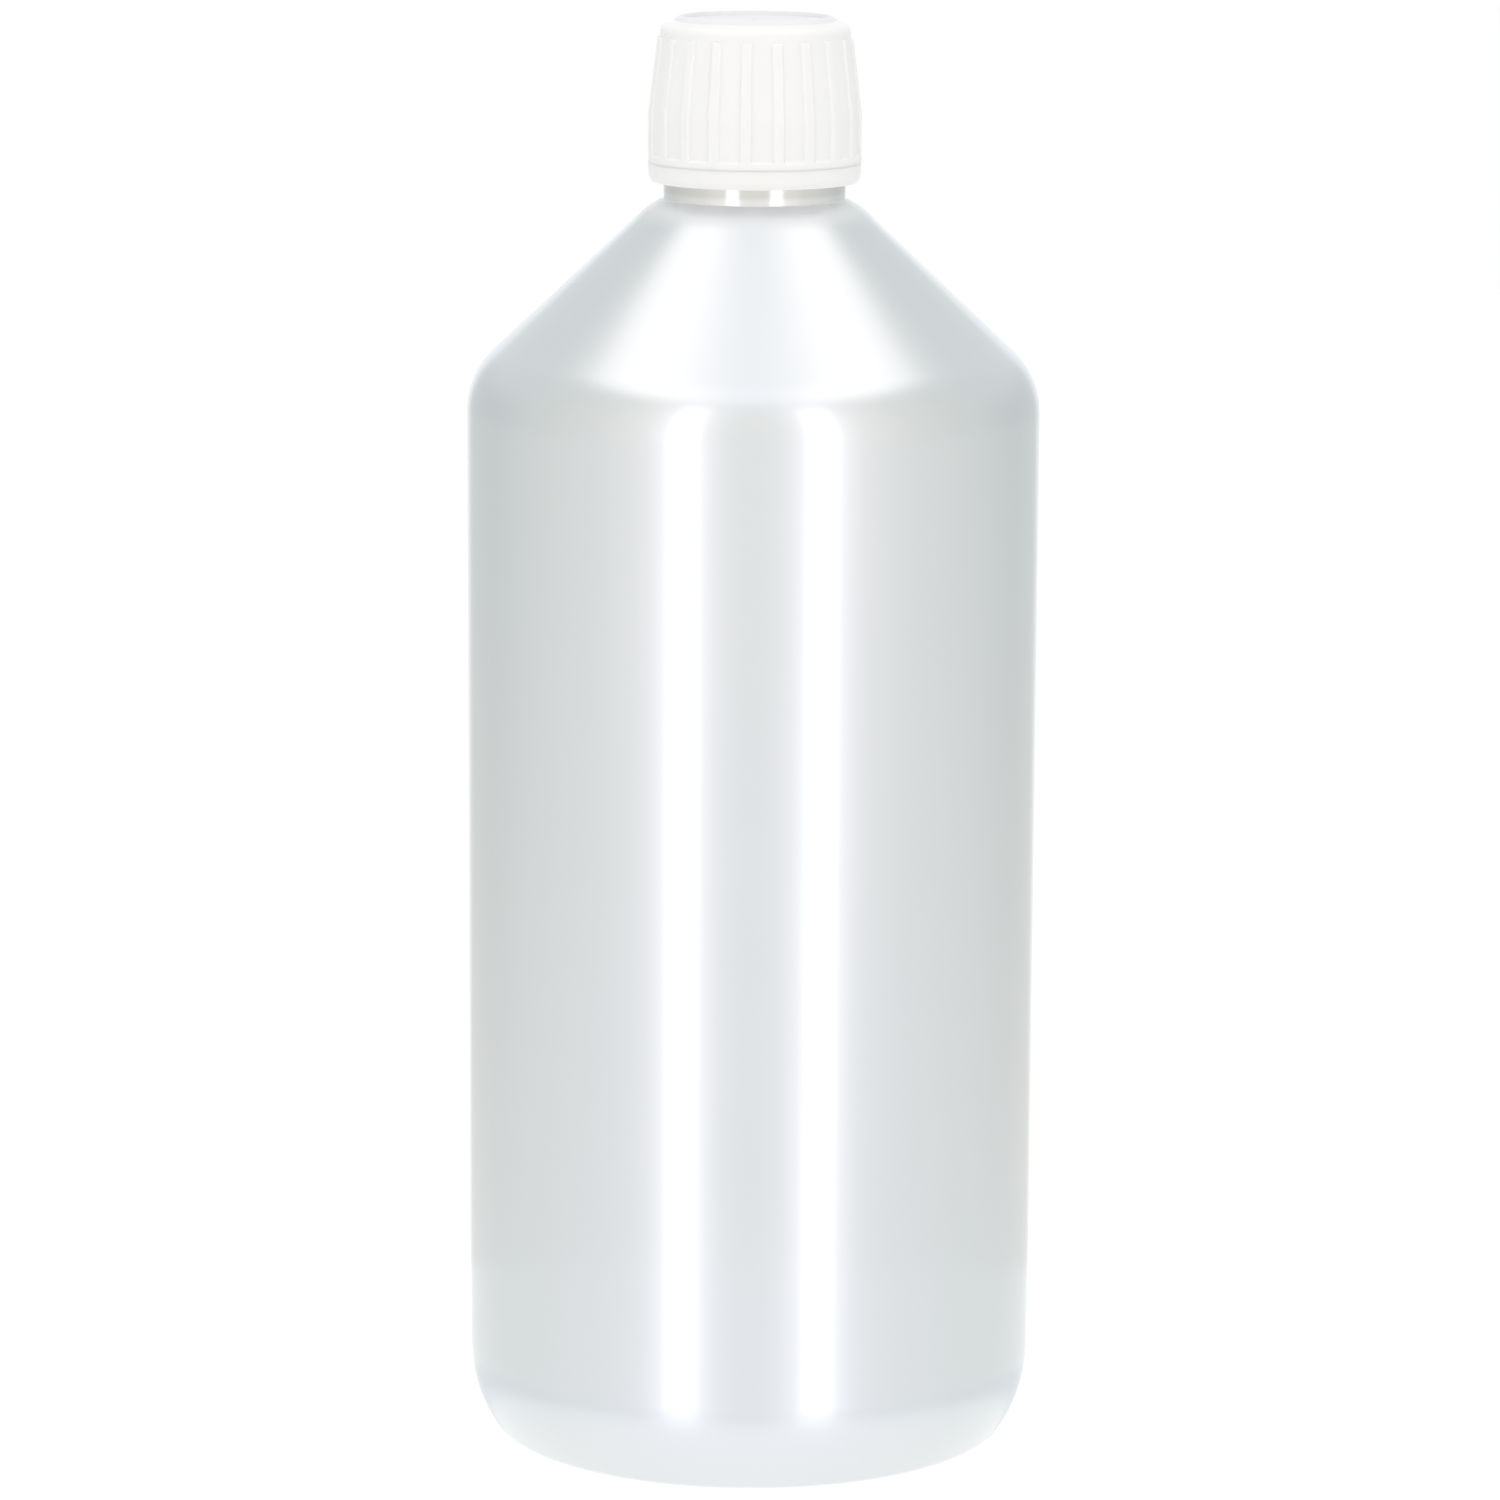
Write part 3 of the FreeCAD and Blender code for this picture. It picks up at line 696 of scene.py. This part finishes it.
# %% The liner's material
liner_material, liner_shader, place = new_material("liner_foam", Roughness=0.6)
cells = place.node("ShaderNodeTexVoronoi", inputs={"Vector": place, "Scale": 3500.0})
dents = place.node("ShaderNodeBump", inputs={"Height": cells, "Strength": 0.3, "Distance": 0.00004})
feed(
    liner_shader,
    Base_Color=cells.blend((0.84, 0.85, 0.86, 1), (0.9, 0.9, 0.9, 1)),
    Normal=dents,
)
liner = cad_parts["cap_liner"]
if not liner.material_slots:
    liner.data.materials.append(liner_material)
for holder in liner.material_slots:
    holder.material = liner_material

# %% [markdown]
# ## The studio
# A satin bottle looks like what stands round it. The studio is a pale room: two long soft lights
# stand at front left and front right, a large one hangs overhead, and the ground is pale. It is a
# function of direction in the world's nodes: one ground tone, and a list of parts that brighten or
# darken a stretch of it. Their strengths were set until the tones in the metal came close to the
# photograph's, so they are a likeness and not a record of a real studio. The camera sees plain
# white instead of the room, and the metal mirrors the room.

# %% The room's light
GROUND_TONE = (0.736, 0.772, 0.783)
ROOM_LEVEL = 1.08

world = bpy.data.worlds.new("studio")
world.use_nodes = True
bpy.context.scene.world = world
tree = world.node_tree
tree.nodes.clear()
ray = new_node(tree, "ShaderNodeTexCoord", output="Generated")
parts = ray.node("ShaderNodeSeparateXYZ", inputs={0: ray})
x, y, z = (Wire(socket) for socket in parts.socket.node.outputs)
azimuth = x.size().maths("ARCTAN2", x.size(), 0 - y) * math.degrees(1)
elevation = z.maths("ARCSINE", z) * math.degrees(1)
upright = elevation.rise(-14, -6) * (1 - elevation.rise(43, 53))
standing = elevation.rise(-36, -10) * (1 - elevation.rise(43, 53))
strip = azimuth.rise(18.5, 21.5) * (1 - azimuth.rise(34, 37)) * standing
overhead = elevation.rise(45, 59)
lights = (
    ((0 - y).most(0.0) ** 0.5, (0.075, 0.063, 0.096)),
    (strip, (0.80, 0.75, 0.83)),
    ((1 - azimuth.rise(12, 18)) * upright, (0.06, 0.06, 0.055)),
    (azimuth.rise(33, 42) * (1 - azimuth.rise(52, 66)) * upright, (0.10, 0.09, 0.09)),
    (
        azimuth.rise(95, 130) * elevation.rise(-20, -12) * (1 - elevation.rise(5, 22)),
        (-0.09, -0.09, -0.095),
    ),
    ((1 - azimuth.rise(60, 120)) * upright, (0.061, 0.05, 0.0)),
    (overhead, (0.303, 0.286, 0.301)),
    (overhead * x.size().rise(0.075, 0.375), (0.312, 0.272, 0.253)),
    (y.rise(0.9, 0.96), (0.233, 0.237, 0.276)),
    (azimuth.rise(150, 180) * (1 - elevation.rise(0, 40)), (0.1, 0.075, 0.06)),
    ((0 - elevation).rise(6, 15), (0.11, 0.08, 0.05)),
    ((0 - elevation).rise(15.35, 15.55), (0.16, 0.18, 0.21)),
    (elevation.rise(-27, -22) * (1 - elevation.rise(-20, -16.5)), (-0.22, -0.19, -0.17)),
    ((0 - elevation).rise(26, 60), (0.02, 0.02, 0.015)),
)
channels = []
for channel, ground in enumerate(GROUND_TONE):
    total = ground * ROOM_LEVEL
    for mask, strength in lights:
        total = mask * (strength[channel] * ROOM_LEVEL) + total
    channels.append(total)
colour = new_node(tree, "ShaderNodeCombineColor", inputs=dict(enumerate(channels)))
room = new_node(tree, "ShaderNodeBackground", inputs={"Color": colour, "Strength": 1.0})
path = new_node(tree, "ShaderNodeLightPath", output="Is Camera Ray")
through = Wire(path.socket.node.outputs["Is Transmission Ray"])
seen = path.most(through)
white = new_node(tree, "ShaderNodeBackground", inputs={"Color": (1, 1, 1, 1), "Strength": 1.0})
shown = new_node(tree, "ShaderNodeMixShader", inputs={0: seen, 1: room, 2: white})
new_node(tree, "ShaderNodeOutputWorld", inputs={"Surface": shown})

# %% [markdown]
# ## The floor
# The bottle stands on a plain pale sheet. Its own colour is near white, and what the camera sees
# of it is lifted by the Is Camera Ray until it is pure white. The faint shadow at the foot goes
# white with it. The metal doesn't mirror the sheet, because the room has a pale ground of its own.

# %% The floor
FLOOR_RADIUS = 1.6
FLOOR_LIFT = 0.24
floor_mesh = bmesh.new()
bmesh.ops.create_circle(floor_mesh, cap_ends=True, radius=FLOOR_RADIUS, segments=96)
floor_data = bpy.data.meshes.new("floor")
floor_mesh.to_mesh(floor_data)
floor_mesh.free()
floor = bpy.data.objects.new("floor", floor_data)
bpy.context.scene.collection.objects.link(floor)
floor.visible_glossy = False
floor_material, floor_shader, place = new_material(
    "pale_floor", Base_Color=(0.86, 0.86, 0.86, 1), Roughness=0.9, Specular_IOR_Level=0.0,
    Emission_Color=(1, 1, 1, 1),
)
path = place.node("ShaderNodeLightPath", output="Is Camera Ray")
feed(floor_shader, Emission_Strength=path * FLOOR_LIFT)
floor_data.materials.append(floor_material)

# %% Colours as they are written
bpy.context.scene.view_settings.view_transform = "Standard"
